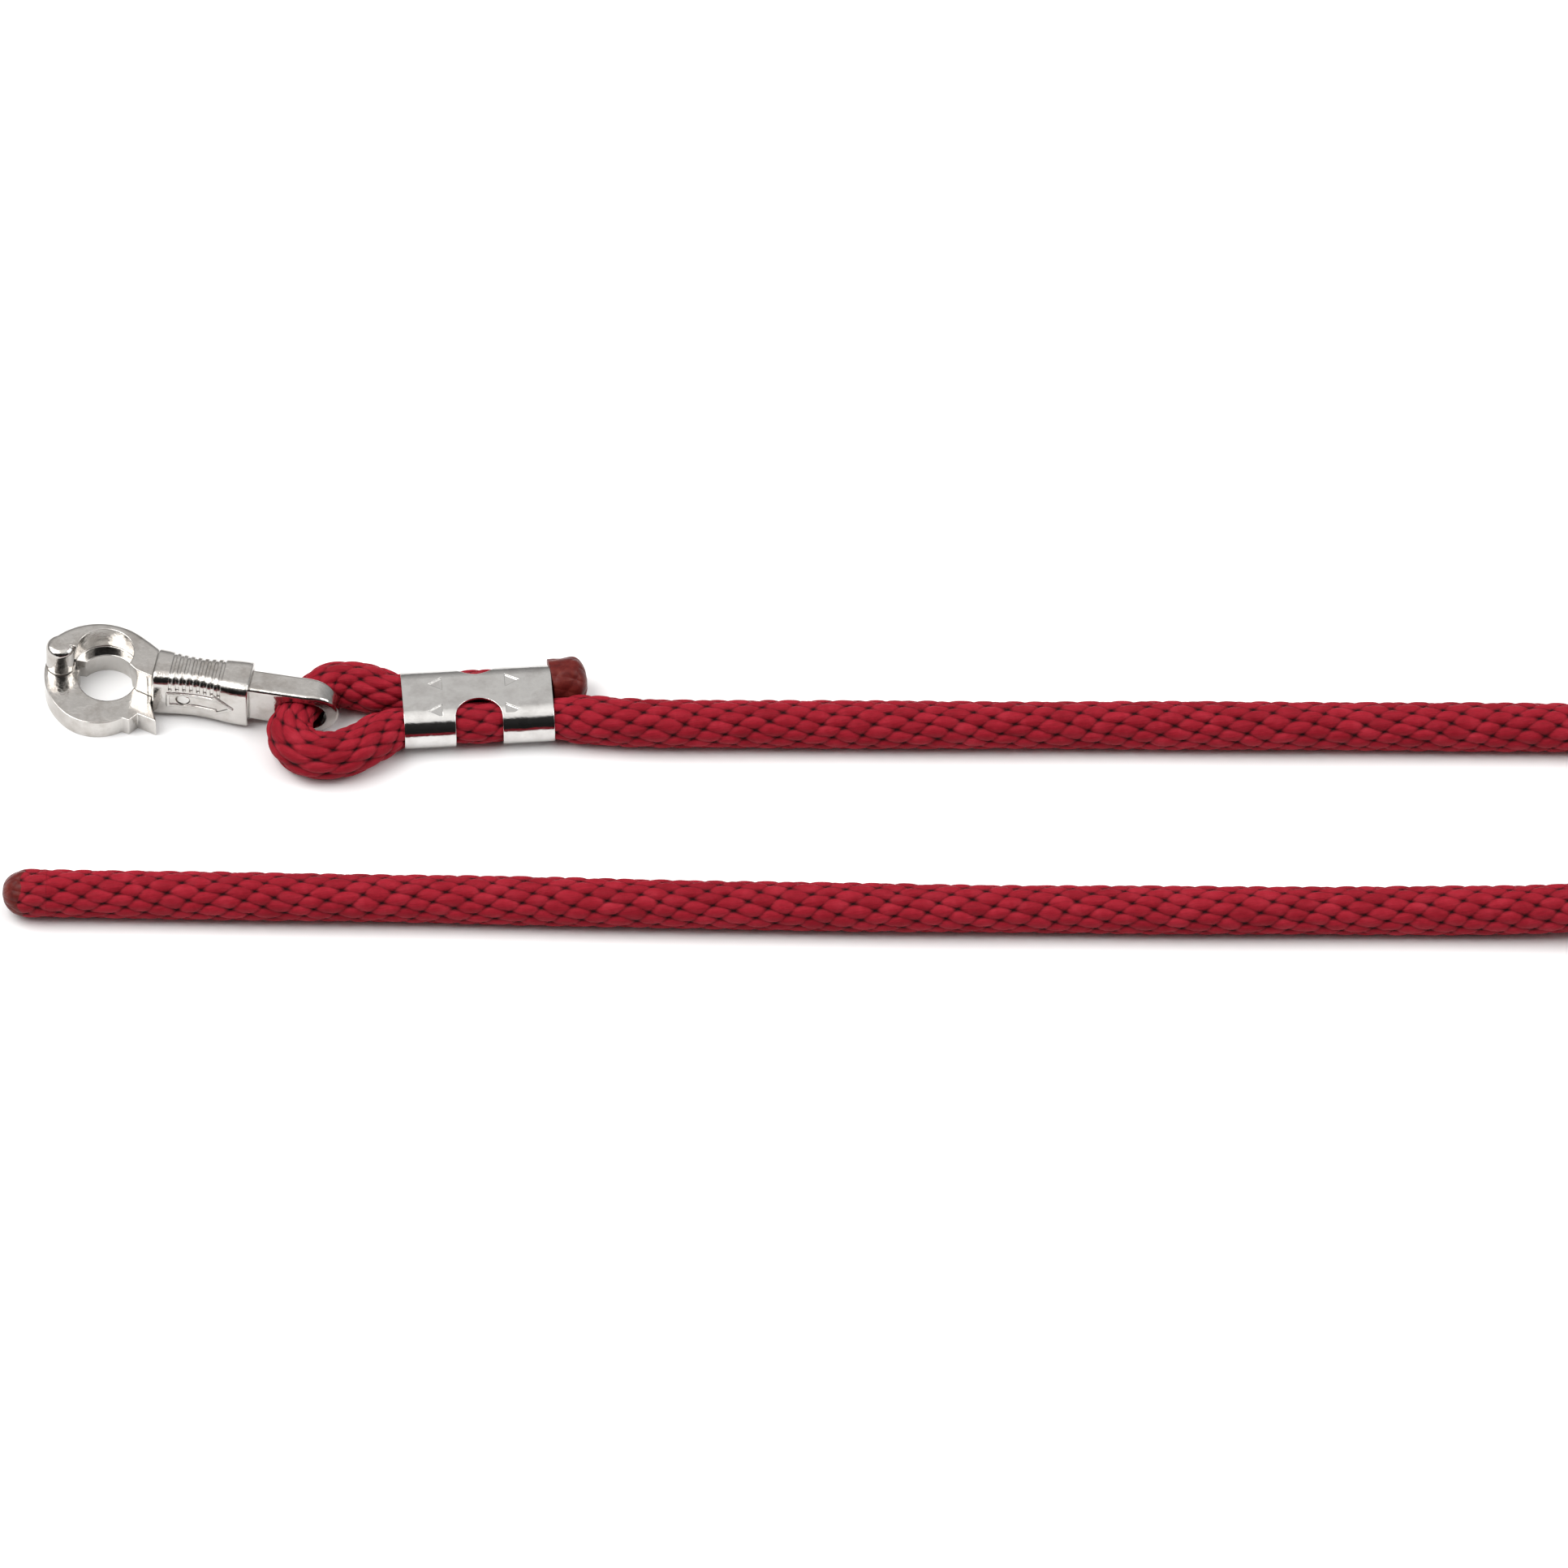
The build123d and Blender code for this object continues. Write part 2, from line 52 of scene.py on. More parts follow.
# ---------------------------------------------------------------- the frame's own directions
HOOK_TURN = math.radians(-10.8)
HOOK_U = Vector((math.cos(HOOK_TURN), math.sin(HOOK_TURN), 0))
HOOK_V = Vector((-math.sin(HOOK_TURN), math.cos(HOOK_TURN), 0))
CLAMP_CENTRE = Vector((0.1234, -0.01285, 0))
CLAMP_TURN = math.radians(4.05)
CLAMP_X = Vector((math.cos(CLAMP_TURN), math.sin(CLAMP_TURN), 0))
CLAMP_Y = Vector((-math.sin(CLAMP_TURN), math.cos(CLAMP_TURN), 0))
ROPE_R = 0.008


def hook_point(u, v, z):
    """A point given along and across the hook, in metres."""
    return HOOK_U * u + HOOK_V * v + Vector((0, 0, z))


def clamp_point(x, y, z):
    """A point given along and across the clamp, in metres."""
    return CLAMP_CENTRE + CLAMP_X * x + CLAMP_Y * y + Vector((0, 0, z))


# ---------------------------------------------------------------- camera
CAMERA_TARGET = Vector((0.2256, -0.0460, 0.0073))
CAMERA_ELEVATION = math.radians(50)
CAMERA_DISTANCE = 13.04
LENS_MM = 900
SENSOR_MM = 36
VIEW_DEPTH = 40

lens = bpy.data.cameras.new("camera")
lens.lens = LENS_MM
lens.sensor_width = SENSOR_MM
lens.clip_end = VIEW_DEPTH
camera = bpy.data.objects.new("camera", lens)
scene.collection.objects.link(camera)
camera_direction = Vector((0, -math.cos(CAMERA_ELEVATION), math.sin(CAMERA_ELEVATION)))
camera.location = CAMERA_TARGET + camera_direction * CAMERA_DISTANCE
camera.rotation_euler = (CAMERA_TARGET - camera.location).to_track_quat("-Z", "Y").to_euler()
scene.camera = camera


# ---------------------------------------------------------------- node material helpers
def new_material(name):
    material = bpy.data.materials.new(name)
    material.use_nodes = True
    tree = material.node_tree
    tree.nodes.clear()
    output = tree.nodes.new("ShaderNodeOutputMaterial")
    shader = tree.nodes.new("ShaderNodeBsdfPrincipled")
    tree.links.new(shader.outputs[0], output.inputs[0])
    return material, tree, shader


def node(tree, kind, inputs=None, **settings):
    """A new node with its settings, and its inputs given as values or as sockets to link from."""
    made = tree.nodes.new(kind)
    for key, value in settings.items():
        setattr(made, key, value)
    for key, value in (inputs or {}).items():
        if isinstance(value, bpy.types.NodeSocket):
            tree.links.new(value, made.inputs[key])
        else:
            made.inputs[key].default_value = value
    return made


def ramp(tree, source, stops):
    """A colour ramp over a socket, from (position, colour) stops."""
    made = node(tree, "ShaderNodeValToRGB", {0: source})
    elements = made.color_ramp.elements
    while len(elements) < len(stops):
        elements.new(0.5)
    for element, (position, colour) in zip(elements, stops):
        element.position = position
        element.color = (*colour, 1)
    return made.outputs[0]


def grey(level):
    """A neutral colour."""
    return (level, level, level)


def span(tree, source, low, high, start=0.0, end=1.0):
    """A socket's range start..end remapped to low..high."""
    made = node(tree, "ShaderNodeMapRange", {0: source, 1: start, 2: end, 3: low, 4: high})
    return made.outputs[0]


def maths(tree, operation, first, second=0.0):
    made = node(tree, "ShaderNodeMath", {0: first, 1: second}, operation=operation)
    return made.outputs[0]


def mixed(tree, share, first, second, blend="MIX"):
    """The first colour, with this share of the second blended in."""
    made = node(tree, "ShaderNodeMix", {0: share, 6: first, 7: second}, data_type="RGBA", blend_type=blend)
    return made.outputs[2]


def noise(tree, vector, scale, detail=4.0, roughness=0.55):
    inputs = {"Vector": vector, "Scale": scale, "Detail": detail, "Roughness": roughness}
    return node(tree, "ShaderNodeTexNoise", inputs).outputs[0]


def stretched(tree, vector, scale, turn=0.0):
    made = node(tree, "ShaderNodeMapping", {"Vector": vector, "Scale": scale, "Rotation": (0, 0, turn)})
    return made.outputs[0]


def object_place(tree):
    """Where a point is, in metres."""
    return node(tree, "ShaderNodeTexCoord").outputs["Object"]


def bump(tree, height, strength, distance, normal=None):
    inputs = {"Height": height, "Strength": strength, "Distance": distance}
    if normal is not None:
        inputs["Normal"] = normal
    return node(tree, "ShaderNodeBump", inputs).outputs[0]


# ---------------------------------------------------------------- metals
def metal(name, dark, light, rough, grain, edge, scratch_turn=0.0):
    """A plated metal: uneven tone, cloudy gloss, a cast or rolled grain, fine scratches, and a painted
    highlight that lightens the colour along edges.

    rough is the lowest and highest roughness, grain the strength of the surface's unevenness, and edge the
    radius, in metres, that sharp edges seem rounded to.
    """
    material, tree, shader = new_material(name)
    place = object_place(tree)
    cloud = noise(tree, place, 140, 5.0, 0.6)
    fine = noise(tree, place, 1300, 6.0, 0.7)
    scratch = noise(tree, stretched(tree, place, (160, 4200, 2600), scratch_turn), 1.0, 3.0, 0.6)
    tone = ramp(tree, cloud, ((0.32, dark), (0.55, light), (0.75, tuple(0.93 * c for c in light))))
    round_edge = node(tree, "ShaderNodeBevel", {"Radius": edge}, samples=6).outputs[0]
    flat_normal = node(tree, "ShaderNodeNewGeometry").outputs["True Normal"]
    flatness = node(tree, "ShaderNodeVectorMath", {0: round_edge, 1: flat_normal}, operation="DOT_PRODUCT")
    # painted highlight: the colour is lightened in patches along rounded edges, where light catches
    edge_highlight_mask = span(tree, flatness.outputs["Value"], 1.0, 0.0, 0.80, 0.995)
    patchy_edge_highlight = maths(tree, "MULTIPLY", edge_highlight_mask, span(tree, fine, 0.15, 1.0, 0.35, 0.65))
    bright = (*[min(1.0, 1.18 * c) for c in light], 1)
    tree.links.new(mixed(tree, patchy_edge_highlight, tone, bright), shader.inputs["Base Color"])
    shader.inputs["Metallic"].default_value = 1.0
    gloss = span(tree, noise(tree, place, 420, 6.0, 0.65), rough[0], rough[1], 0.32, 0.68)
    tree.links.new(gloss, shader.inputs["Roughness"])
    normal = bump(tree, cloud, grain, 0.0011, round_edge)
    normal = bump(tree, fine, 0.10, 0.00012, normal)
    normal = bump(tree, scratch, 0.12, 0.00006, normal)
    tree.links.new(normal, shader.inputs["Normal"])
    return material


nickel_cast = metal(
    "nickel_cast",
    dark=(0.45, 0.42, 0.39),
    light=(0.60, 0.58, 0.555),
    rough=(0.08, 0.20),
    grain=0.24,
    edge=0.00060,
    scratch_turn=HOOK_TURN,
)
nickel_pin = metal(
    "nickel_pin",
    dark=(0.52, 0.50, 0.48),
    light=(0.66, 0.65, 0.63),
    rough=(0.10, 0.22),
    grain=0.08,
    edge=0.00025,
)
nickel_sheet = metal(
    "nickel_sheet",
    dark=(0.56, 0.545, 0.53),
    light=(0.68, 0.67, 0.655),
    rough=(0.06, 0.16),
    grain=0.12,
    edge=0.0003,
    scratch_turn=CLAMP_TURN,
)
spring_steel = metal(
    "spring_steel",
    dark=(0.30, 0.29, 0.28),
    light=(0.42, 0.41, 0.40),
    rough=(0.22, 0.38),
    grain=0.05,
    edge=0.0001,
)

FINISH = {
    "hook_body": nickel_cast,
    "swing_jaw": nickel_cast,
    "release_sleeve": nickel_cast,
    "jaw_rivet": nickel_pin,
    "sleeve_pin": nickel_pin,
    "rope_clamp": nickel_sheet,
}
for name, finish in FINISH.items():
    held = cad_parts[name]
    held.data.materials.clear()
    held.data.materials.append(finish)

# ---------------------------------------------------------------- rope materials
# painted shade: near-black colours laid into the gaps and pits between stitches, where shade would fall
GAP_SHADE_COLOUR = (0.085, 0.0020, 0.0055, 1)
PIT_SHADE_COLOUR = (0.016, 0.0006, 0.0016, 1)


def stitch_pattern(tree):
    """The braid from its lattice coordinates.

    Returns how high a point is on its stitch, how near the gap beside it and how deep in a pit it is, and a
    number that differs from stitch to stitch. The gap and pit masks carry painted shade into the colour.
    """
    braid_place = node(tree, "ShaderNodeUVMap", uv_map="braid").outputs[0]
    pair = node(tree, "ShaderNodeSeparateXYZ", {0: braid_place})
    whole = [maths(tree, "ROUND", pair.outputs[k]) for k in (0, 1)]
    off = []
    for k in (0, 1):
        distance = maths(tree, "ABSOLUTE", maths(tree, "SUBTRACT", pair.outputs[k], whole[k]))
        off.append(maths(tree, "MULTIPLY", distance, 2.0))
    outer = maths(tree, "MAXIMUM", off[0], off[1])
    inner = maths(tree, "MINIMUM", off[0], off[1])
    line = span(tree, outer, 0.0, 1.0, 0.78, 1.0)
    pit = span(tree, maths(tree, "MULTIPLY", off[0], off[1]), 0.0, 1.0, 0.42, 0.86)
    slope = maths(tree, "POWER", outer, 2.6)
    height = maths(tree, "SUBTRACT", 1.0, maths(tree, "MULTIPLY", slope, span(tree, inner, 0.45, 1.0)))
    cell = node(tree, "ShaderNodeCombineXYZ", {0: whole[0], 1: whole[1]}).outputs[0]
    chance = node(tree, "ShaderNodeTexWhiteNoise", {0: cell}).outputs[0]
    return height, line, pit, chance


def yarn(tree, line, pit, chance):
    """The crimson yarn's colour, with painted shade in the gaps and pits between stitches, its filaments and
    its plies.
    """
    lay = node(tree, "ShaderNodeUVMap", uv_map="lay").outputs[0]
    filaments = noise(tree, stretched(tree, lay, (0.16, 3.4, 1.0)), 1.0, 4.0, 0.65)
    plies = noise(tree, stretched(tree, lay, (0.10, 1.15, 1.0)), 1.0, 2.0, 0.5)
    patch = noise(tree, object_place(tree), 160, 3.0, 0.6)
    base_stops = (
        (0.30, (0.245, 0.0062, 0.0150)),
        (0.52, (0.290, 0.0090, 0.0200)),
        (0.72, (0.335, 0.0155, 0.0290)),
    )
    streak_stops = ((0.30, (0.74, 0.70, 0.72)), (0.52, grey(1.0)), (0.74, (1.14, 1.40, 1.36)))
    chance_stops = ((0.0, (0.86, 0.80, 0.84)), (0.5, grey(1.0)), (1.0, (1.10, 1.26, 1.20)))
    toned = mixed(tree, 0.85, ramp(tree, patch, base_stops), ramp(tree, filaments, streak_stops), "MULTIPLY")
    varied = mixed(tree, 1.0, toned, ramp(tree, chance, chance_stops), "MULTIPLY")
    # painted shade: the gaps are darkened in colour, and the pits nearly blackened
    gap = maths(tree, "MULTIPLY", line, span(tree, plies, 0.25, 0.72, 0.35, 0.65))
    gap_shaded = mixed(tree, gap, varied, GAP_SHADE_COLOUR)
    return mixed(tree, pit, gap_shaded, PIT_SHADE_COLOUR), filaments, plies


def rope_material():
    """Solid-braided rope: round yarn stitches of fine filaments, with painted shade in the thin gaps and deep
    pits between them.
    """
    material, tree, shader = new_material("braided_rope")
    height, line, pit, chance = stitch_pattern(tree)
    colour, filaments, plies = yarn(tree, line, pit, chance)
    fuzz = noise(tree, object_place(tree), 2600, 3.0, 0.7)
    tree.links.new(colour, shader.inputs["Base Color"])
    tree.links.new(span(tree, filaments, 0.52, 0.78, 0.3, 0.7), shader.inputs["Roughness"])
    shader.inputs["Specular IOR Level"].default_value = 0.10
    shader.inputs["Sheen Weight"].default_value = 0.03
    shader.inputs["Sheen Roughness"].default_value = 0.45
    shader.inputs["Sheen Tint"].default_value = (1.0, 0.60, 0.65, 1)
    normal = bump(tree, height, 0.55, 0.0010)
    normal = bump(tree, plies, 0.45, 0.00030, normal)
    normal = bump(tree, filaments, 0.60, 0.00018, normal)
    normal = bump(tree, fuzz, 0.25, 0.00008, normal)
    tree.links.new(normal, shader.inputs["Normal"])
    return material


def dip_material():
    """A dipped and heat-set rope end: a brown-red skin with fine pores, that runs out over the bare braid."""
    material, tree, shader = new_material("rope_dip")
    bare = node(tree, "ShaderNodeAttribute", attribute_name="bare").outputs["Fac"]
    height, line, pit, chance = stitch_pattern(tree)
    # the bare braid's crimson carries the yarn's painted shade in its gaps and pits
    crimson, filaments, plies = yarn(tree, line, pit, chance)
    place = object_place(tree)
    cloud = noise(tree, place, 320, 5.0, 0.6)
    pores = noise(tree, place, 1700, 4.0, 0.65)
    skin_stops = (
        (0.30, (0.070, 0.0075, 0.0065)),
        (0.50, (0.112, 0.0125, 0.0105)),
        (0.72, (0.150, 0.0240, 0.0170)),
    )
    edge = span(tree, maths(tree, "ADD", bare, cloud), 0.0, 1.0, 0.90, 1.08)
    colour = mixed(tree, edge, ramp(tree, cloud, skin_stops), crimson)
    tree.links.new(colour, shader.inputs["Base Color"])
    gloss = span(tree, pores, 0.28, 0.50, 0.35, 0.65)
    tree.links.new(span(tree, edge, gloss, 0.65), shader.inputs["Roughness"])
    shader.inputs["Specular IOR Level"].default_value = 0.14
    normal = bump(tree, height, span(tree, edge, 0.30, 0.55), 0.0008)
    normal = bump(tree, plies, span(tree, edge, 0.0, 0.45), 0.00030, normal)
    normal = bump(tree, filaments, span(tree, edge, 0.0, 0.60), 0.00018, normal)
    normal = bump(tree, cloud, span(tree, edge, 0.35, 0.0), 0.0006, normal)
    normal = bump(tree, pores, span(tree, edge, 0.30, 0.0), 0.00012, normal)
    tree.links.new(normal, shader.inputs["Normal"])
    return material


braided = rope_material()
dipped = dip_material()


# ---------------------------------------------------------------- the line that a rope follows
def centreline(points):
    """The points of one smooth NURBS line with these control points."""
    data = bpy.data.curves.new("line", "CURVE")
    data.dimensions = "3D"
    data.resolution_u = 20
    spline = data.splines.new("NURBS")
    spline.points.add(len(points) - 1)
    for knot, (x, y, z) in zip(spline.points, points):
        knot.co = (x, y, z, 1)
    spline.order_u = 3
    spline.use_endpoint_u = True
    curve = bpy.data.objects.new("line", data)
    scene.collection.objects.link(curve)
    mesh = bpy.data.meshes.new_from_object(curve)
    line = np.empty(len(mesh.vertices) * 3)
    mesh.vertices.foreach_get("co", line)
    bpy.data.objects.remove(curve)
    bpy.data.curves.remove(data)
    bpy.data.meshes.remove(mesh)
    return line.reshape(-1, 3)


def even(line, step):
    """The same line, with its points one step apart, and the distance along it of each."""
    along = np.concatenate(([0.0], np.cumsum(np.linalg.norm(np.diff(line, axis=0), axis=1))))
    count = int(round(along[-1] / step))
    at = np.linspace(0.0, along[-1], count + 1)
    return np.stack([np.interp(at, along, line[:, k]) for k in range(3)], axis=1), at


def sides_and_ups(line):
    """The sideways and the upward direction at each point of a line that lies nearly flat."""
    ahead = np.gradient(line, axis=0)
    ahead /= np.linalg.norm(ahead, axis=1)[:, None]
    side = np.cross(np.array((0.0, 0.0, 1.0)), ahead)
    side /= np.linalg.norm(side, axis=1)[:, None]
    return side, np.cross(ahead, side)


def smooth(value, start, end):
    """0 before start, 1 after end, smooth between."""
    t = np.clip((value - start) / (end - start), 0.0, 1.0)
    return t * t * (3 - 2 * t)


def in_clamp(line):
    """How far along and across the clamp each point of a line is."""
    flat = line[:, :2] - np.array(CLAMP_CENTRE[:2])
    return flat @ np.array(CLAMP_X[:2]), flat @ np.array(CLAMP_Y[:2])


# ---------------------------------------------------------------- braid
# The braid's repeat on the unrolled rope, in millimetres: along the rope, then round it. Six of the first
# step and ten of the second go once round.
STEP_A = (6.80, 2.10)
STEP_B = (-4.08, 3.77)
ROUND = 6 * STEP_A[1] + 10 * STEP_B[1]
WALE = np.array((STEP_A[0] - STEP_B[0], STEP_A[1] - STEP_B[1]))
WALE = WALE / np.hypot(*WALE)
RELIEF = 0.00130
SEAM = -0.5 * math.pi
FLOOR_GAP = 0.0001
MM = 1000.0
CAP_UV = 0.4


def lattice(along, turn):
    """The braid's lattice coordinates of points of the unrolled rope in millimetres.

    Each stitch is centred on a whole pair. The sines make the stitches as uneven as yarn lies.
    """
    det = STEP_A[0] * STEP_B[1] - STEP_B[0] * STEP_A[1]
    around = 2 * math.pi * turn / ROUND
    sway = 0.34 * np.sin(along * 0.193 + 2 * around) + 0.42 * np.sin(along * 0.0871 - around + 1.1)
    turn = turn + sway + 0.22 * np.sin(along * 0.411 + 3 * around)
    along = along + 0.45 * np.sin(along * 0.147 - 2 * around + 0.6) + 0.30 * np.sin(along * 0.329 + around)
    return (STEP_B[1] * along - STEP_B[0] * turn) / det, (-STEP_A[1] * along + STEP_A[0] * turn) / det


def braid(along, turn):
    """Height 0..1 of the braid's stitches, pillows that meet in thin gaps and in a pit at each corner."""
    a, b = lattice(along, turn)
    a, b = 2 * np.abs(a - np.round(a)), 2 * np.abs(b - np.round(b))
    outer, inner = np.maximum(a, b), np.minimum(a, b)
    return 1.0 - outer ** 2.6 * (0.42 + 0.58 * inner)


def uneven(along, theta):
    """How the rope's thickness drifts, as a factor, at each distance in millimetres and each angle."""
    round_it = np.sin(along[:, None] * 0.061 + 2 * theta[None, :])
    return 1.0 + 0.012 * round_it + 0.010 * np.sin(along * 0.023 + 1.3)[:, None]


def round_rope(sides):
    """The angle of each side of a rope's section, and where it is on the unrolled rope in millimetres."""
    steps = np.arange(sides)
    return SEAM + steps * 2 * math.pi / sides, steps * ROUND / sides


def grid_mesh(name, rows, unrolled, bare=None):
    """A closed tube mesh from rows of points.

    Its UV maps are the braid's lattice, and millimetres along and across the braid's wales.
    """
    count, sides = rows.shape[:2]
    first = np.arange(count - 1)[:, None] * sides
    j = np.arange(sides)[None, :]
    k = (j + 1) % sides
    quads = np.stack([first + j, first + k, first + sides + k, first + sides + j], axis=-1)
    faces = quads.reshape(-1, 4).tolist()
    faces.append(list(range(sides))[::-1])
    faces.append(list(range((count - 1) * sides, count * sides)))
    along, turn = unrolled
    wide = np.concatenate([turn, [turn[-1] + turn[1] - turn[0]]])
    uv = {key: np.empty((count - 1, sides, 4, 2)) for key in ("braid", "lay")}
    for corner, (di, dj) in enumerate(((0, 0), (0, 1), (1, 1), (1, 0))):
        s = along[di: count - 1 + di][:, None]
        c = wide[dj: sides + dj][None, :]
        uv["braid"][:, :, corner, 0], uv["braid"][:, :, corner, 1] = lattice(s, c)
        uv["lay"][:, :, corner, 0] = s * WALE[0] + c * WALE[1]
        uv["lay"][:, :, corner, 1] = -s * WALE[1] + c * WALE[0]
    mesh = bpy.data.meshes.new(name)
    mesh.from_pydata(rows.reshape(-1, 3).tolist(), [], faces)
    for key, values in uv.items():
        values = np.concatenate([values.reshape(-1, 2), np.full((2 * sides, 2), CAP_UV)])
        mesh.uv_layers.new(name=key).data.foreach_set("uv", values.astype(np.float32).ravel())
    if bare is not None:
        attribute = mesh.attributes.new("bare", "FLOAT", "POINT")
        attribute.data.foreach_set("value", bare.astype(np.float32).ravel())
    mesh.shade_smooth()
    piece = bpy.data.objects.new(name, mesh)
    scene.collection.objects.link(piece)
    return piece


def rope_rows(line, across, rise):
    """Rows of points round a line, from their sideways and upward distances, none of them under the floor."""
    side, up = sides_and_ups(line)
    rows = line[:, None, :] + across[:, :, None] * side[:, None, :] + rise[:, :, None] * up[:, None, :]
    rows[:, :, 2] = np.maximum(rows[:, :, 2], FLOOR_GAP)
    return rows


# ---------------------------------------------------------------- rope in the clamp and the eye
CLAMP_PRESS = (0.18, 0.15)
CLAMP_PRESS_ENDS = (0.0240, 0.0350)
CLAMP_REACH = 0.020
EYE_U = 0.0665
EYE_PRESS = (0.15, 0.25)
EYE_PRESS_ACROSS = (0.0045, 0.0130)
EYE_PRESS_ALONG = (0.010, 0.016)
WINDOW_HALF = 0.0080
WINDOW_REACH = 0.014
WINDOW_SWELL = 0.0011


def pressed(line):
    """How far the clamp and the hook's eye press the rope at each point: its width and height as factors."""
    x, y = in_clamp(line)
    clamp = (1.0 - smooth(np.abs(x), *CLAMP_PRESS_ENDS)) * (np.abs(y) < CLAMP_REACH)
    off = line[:, :2] - np.array(hook_point(EYE_U, 0, 0)[:2])
    v = off @ np.array(HOOK_V[:2])
    u = off @ np.array(HOOK_U[:2])
    eye = (1.0 - smooth(np.abs(v), *EYE_PRESS_ACROSS)) * (1.0 - smooth(np.abs(u), *EYE_PRESS_ALONG))
    width = 1.0 - CLAMP_PRESS[0] * clamp - EYE_PRESS[0] * eye
    height = 1.0 - CLAMP_PRESS[1] * clamp - EYE_PRESS[1] * eye
    return width, height


def window_swell(line, theta):
    """How far the rope swells out through the clamp's side windows, on its outer side only."""
    x, y = in_clamp(line)
    side, _ = sides_and_ups(line)
    outward = np.sign(y) * (side[:, :2] @ np.array(CLAMP_Y[:2]))
    middle = np.clip(1.0 - (x / WINDOW_HALF) ** 2, 0.0, 1.0) ** 0.8 * (np.abs(y) < WINDOW_REACH)
    facing = np.clip(np.cos(theta)[None, :] * np.sign(outward)[:, None], 0.0, 1.0)
    return WINDOW_SWELL * middle[:, None] * np.sqrt(facing)


# ---------------------------------------------------------------- rope pieces
STITCH_PROUD = 0.00015


def rope(name, points, step, sides):
    """A braided rope along a NURBS line, pressed where metal holds it, and the line's points."""
    line, at = even(centreline(points), step)
    width, height = pressed(line)
    theta, unroll = round_rope(sides)
    along = at * MM
    crown = braid(along[:, None], unroll[None, :])
    radius = (ROPE_R + STITCH_PROUD - RELIEF * (1.0 - crown)) * uneven(along, theta)
    swell = window_swell(line, theta)
    across = radius * np.cos(theta)[None, :] * width[:, None] + swell * np.cos(theta)[None, :]
    rise = radius * np.sin(theta)[None, :] * height[:, None]
    piece = grid_mesh(name, rope_rows(line, across, rise), (along, unroll))
    piece.data.materials.append(braided)
    return piece, line


COIL_CENTRE = (0.604, -0.06175)
COIL_R = 0.080
COIL_STEPS = 25
COIL_ENTRY = 134.4
COIL_SWEEP = 628.8
COIL_END_BENDS = 24.0
COIL_CLIMB = (268.0, 330.0)
COIL_LOOSE = 0.012


def coil_points():
    """Control points of the coil, clockwise: one turn on the floor, then up on top of it."""
    step = (COIL_SWEEP - COIL_END_BENDS) / COIL_STEPS
    start = COIL_ENTRY - step / 2
    reach = COIL_R / math.cos(math.radians(step / 2))
    points = []
    for k in range(COIL_STEPS + 1):
        turned = start - k * step
        lift = float(smooth(np.array(COIL_ENTRY - turned), *COIL_CLIMB))
        loose = 1.0 + COIL_LOOSE * math.sin(math.radians(1.7 * (COIL_ENTRY - turned)))
        angle = math.radians(turned)
        points.append((
            COIL_CENTRE[0] + reach * loose * math.cos(angle),
            COIL_CENTRE[1] + reach * loose * math.sin(angle),
            ROPE_R + 2 * ROPE_R * lift,
        ))
    return points


ROPE_EXIT = clamp_point(0.025, -0.0071, 0.0080)
LEAD_POINTS = [
    tuple(ROPE_EXIT),
    tuple(clamp_point(0.037, -0.0082, 0.0080)),
    (0.176, -0.0203, 0.008),
    (0.214, -0.0205, 0.008),
    (0.280, -0.0209, 0.008),
    (0.372, -0.0211, 0.008),
    (0.456, -0.0218, 0.008),
    (0.517, -0.0222, 0.008),
    (0.542, -0.0110, 0.008),
]
RETURN_POINTS = [
    (0.542, -0.1125, 0.0240),
    (0.517, -0.1019, 0.0168),
    (0.488, -0.1018, 0.0092),
    (0.440, -0.1015, 0.008),
    (0.352, -0.1012, 0.008),
    (0.262, -0.1002, 0.008),
    (0.190, -0.0987, 0.008),
    (0.112, -0.0963, 0.008),
    (0.040, -0.0951, 0.008),
    (-0.023, -0.0938, 0.008),
]
free_rope, free_line = rope("free_rope", LEAD_POINTS + coil_points() + RETURN_POINTS, step=0.00080, sides=64)
free_length = float(np.linalg.norm(np.diff(free_line, axis=0), axis=1).sum())
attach(free_rope, "lead")
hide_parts("lead_rope", "rope_coil", "rope_return")

LOOP_POINTS = [
    tuple(clamp_point(0.0250, 0.0066, 0.0079)),
    tuple(clamp_point(-0.0050, 0.0066, 0.0078)),
    tuple(clamp_point(-0.0270, 0.0064, 0.0080)),
    (0.0820, -0.0032, 0.0082),
    (0.0708, -0.0042, 0.0084),
    (0.0615, -0.0178, 0.0084),
    (0.0608, -0.0282, 0.0081),
    (0.0684, -0.0346, 0.0080),
    (0.0802, -0.0336, 0.0080),
    (0.0910, -0.0254, 0.0080),
    tuple(clamp_point(-0.0250, -0.0064, 0.0079)),
    tuple(clamp_point(-0.0030, -0.0066, 0.0078)),
    tuple(ROPE_EXIT),
]
loop_rope, _ = rope("loop_rope", LOOP_POINTS, step=0.00060, sides=72)
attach(loop_rope, "lead")
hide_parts("rope_loop")

# ---------------------------------------------------------------- dipped rope ends
END_STEP = 0.0004
END_SIDES = 64
DIP_PROUD = 0.00019
DIP_BORDER = 0.0012
DIP_FILL = 0.65
DIP_ROUNDNESS = 2.2
TIP_SHARE = 0.02


